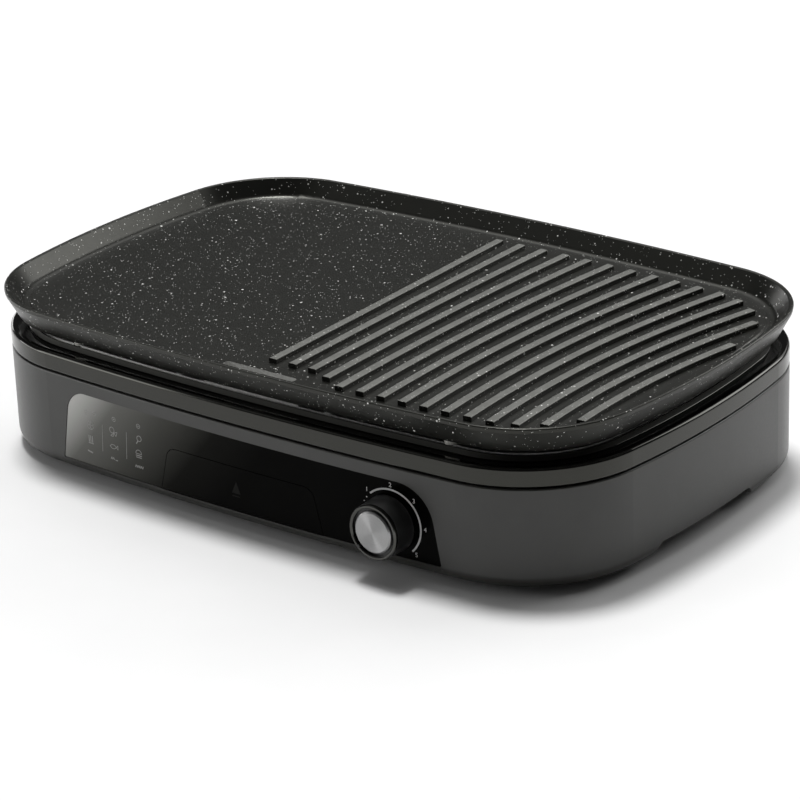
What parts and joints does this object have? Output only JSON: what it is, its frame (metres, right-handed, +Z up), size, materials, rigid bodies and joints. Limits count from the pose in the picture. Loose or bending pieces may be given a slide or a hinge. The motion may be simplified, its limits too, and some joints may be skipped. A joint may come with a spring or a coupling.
{
  "type": "electric table grill",
  "caption": "Electric table grill with a ribbed, rimmed cast plate over a low dark housing, a drip drawer in the front panel and a round temperature knob.",
  "frame": {"origin": "on the table, under the middle of the overall width and of the overall depth, knob included", "axes": "+Z up, the front with drawer and knob faces -Y, +X to the right as seen from the front"},
  "size_m": [0.4996, 0.3381, 0.11],
  "materials": {
    "nonstick_cast": "die-cast, with a dark non-stick coating and fine pale specks",
    "gloss_black": "glossy black",
    "body_plastic": "fine matt grain, dark warm grey",
    "tray_plastic": "satin black",
    "inner_plastic": "plain black moulding",
    "runner_plastic": "natural white, low friction",
    "foot_rubber": "matt",
    "screw_steel": "zinc plated",
    "sheet_steel": "bright rolled sheet",
    "heater_sheath": "dull, heat tinted",
    "ceramic": "unglazed white, heat proof",
    "brass_parts": "plain",
    "knob_black": "satin black",
    "chrome_trim": "polished",
    "turned_aluminium": "turned face, fine circular lines",
    "copper_tube": "drawn copper",
    "sleeve_white": "insulating sleeve",
    "wire_brown": "insulation",
    "wire_black": "insulation",
    "wire_blue": "insulation",
    "wire_green": "insulation",
    "inlet_rubber": "satin",
    "label": "blank silver-grey film"
  },
  "bodies": {
    "base": {"top_frame": "gloss_black", "body_shell": "body_plastic", "front_panel": "gloss_black", "drawer_bay": "inner_plastic", "drawer_bay_screws": "screw_steel", "drawer_runners": "runner_plastic", "latch_housing": "inner_plastic", "latch_plunger": "runner_plastic", "base_plate": "body_plastic", "rubber_feet": "foot_rubber", "base_screws": "screw_steel", "frame_screws": "screw_steel", "reflector_pan": "sheet_steel", "reflector_screws": "screw_steel", "heating_element": "heater_sheath", "element_bushings": "ceramic", "element_terminals": "screw_steel", "element_supports": "sheet_steel", "drain_chute": "sheet_steel", "plate_rest_pads": "ceramic", "thermostat_mounting_plate": "sheet_steel", "thermostat_screws": "screw_steel", "thermostat_housing": "ceramic", "thermostat_terminals": "brass_parts", "sensor_bulb": "copper_tube", "sensor_clip": "sheet_steel", "capillary_tube": "copper_tube", "wire_connectors": "sleeve_white", "terminal_block": "ceramic", "terminal_screws": "brass_parts", "thermal_fuse": "sleeve_white", "fuse_clip": "sheet_steel", "earth_lug": "brass_parts", "earth_screw": "screw_steel", "live_wire": "wire_brown", "switched_wire": "wire_black", "neutral_wire": "wire_blue", "fuse_wire": "wire_blue", "earth_wire": "wire_green", "cord_inlet_bushing": "inlet_rubber", "panel_screws": "screw_steel", "rating_label": "label"},
    "drawer": {"drip_tray": "tray_plastic", "drawer_front": "gloss_black", "drawer_front_screws": "screw_steel", "drawer_catch": "sheet_steel"},
    "knob": {"knob_body": "knob_black", "knob_ring": "chrome_trim", "knob_cap": "turned_aluminium", "knob_hub_ring": "screw_steel", "thermostat_shaft": "screw_steel"},
    "plate": {"grill_plate": "nonstick_cast"}
  },
  "joints": [
    {"name": "drawer_slide", "type": "slide", "parent": "base", "child": "drawer", "axis": [0, -1, 0], "range_m": [-0.002, 0.15]},
    {"name": "knob_turn", "type": "hinge", "parent": "base", "child": "knob", "pos_m": [0.118, -0.15284, 0.0335], "axis": [0, 1, 0], "range_deg": [0, 270]},
    {"name": "plate_lift", "type": "slide", "parent": "base", "child": "plate", "axis": [0, 0, 1], "range_m": [0, 0.08]}
  ]
}
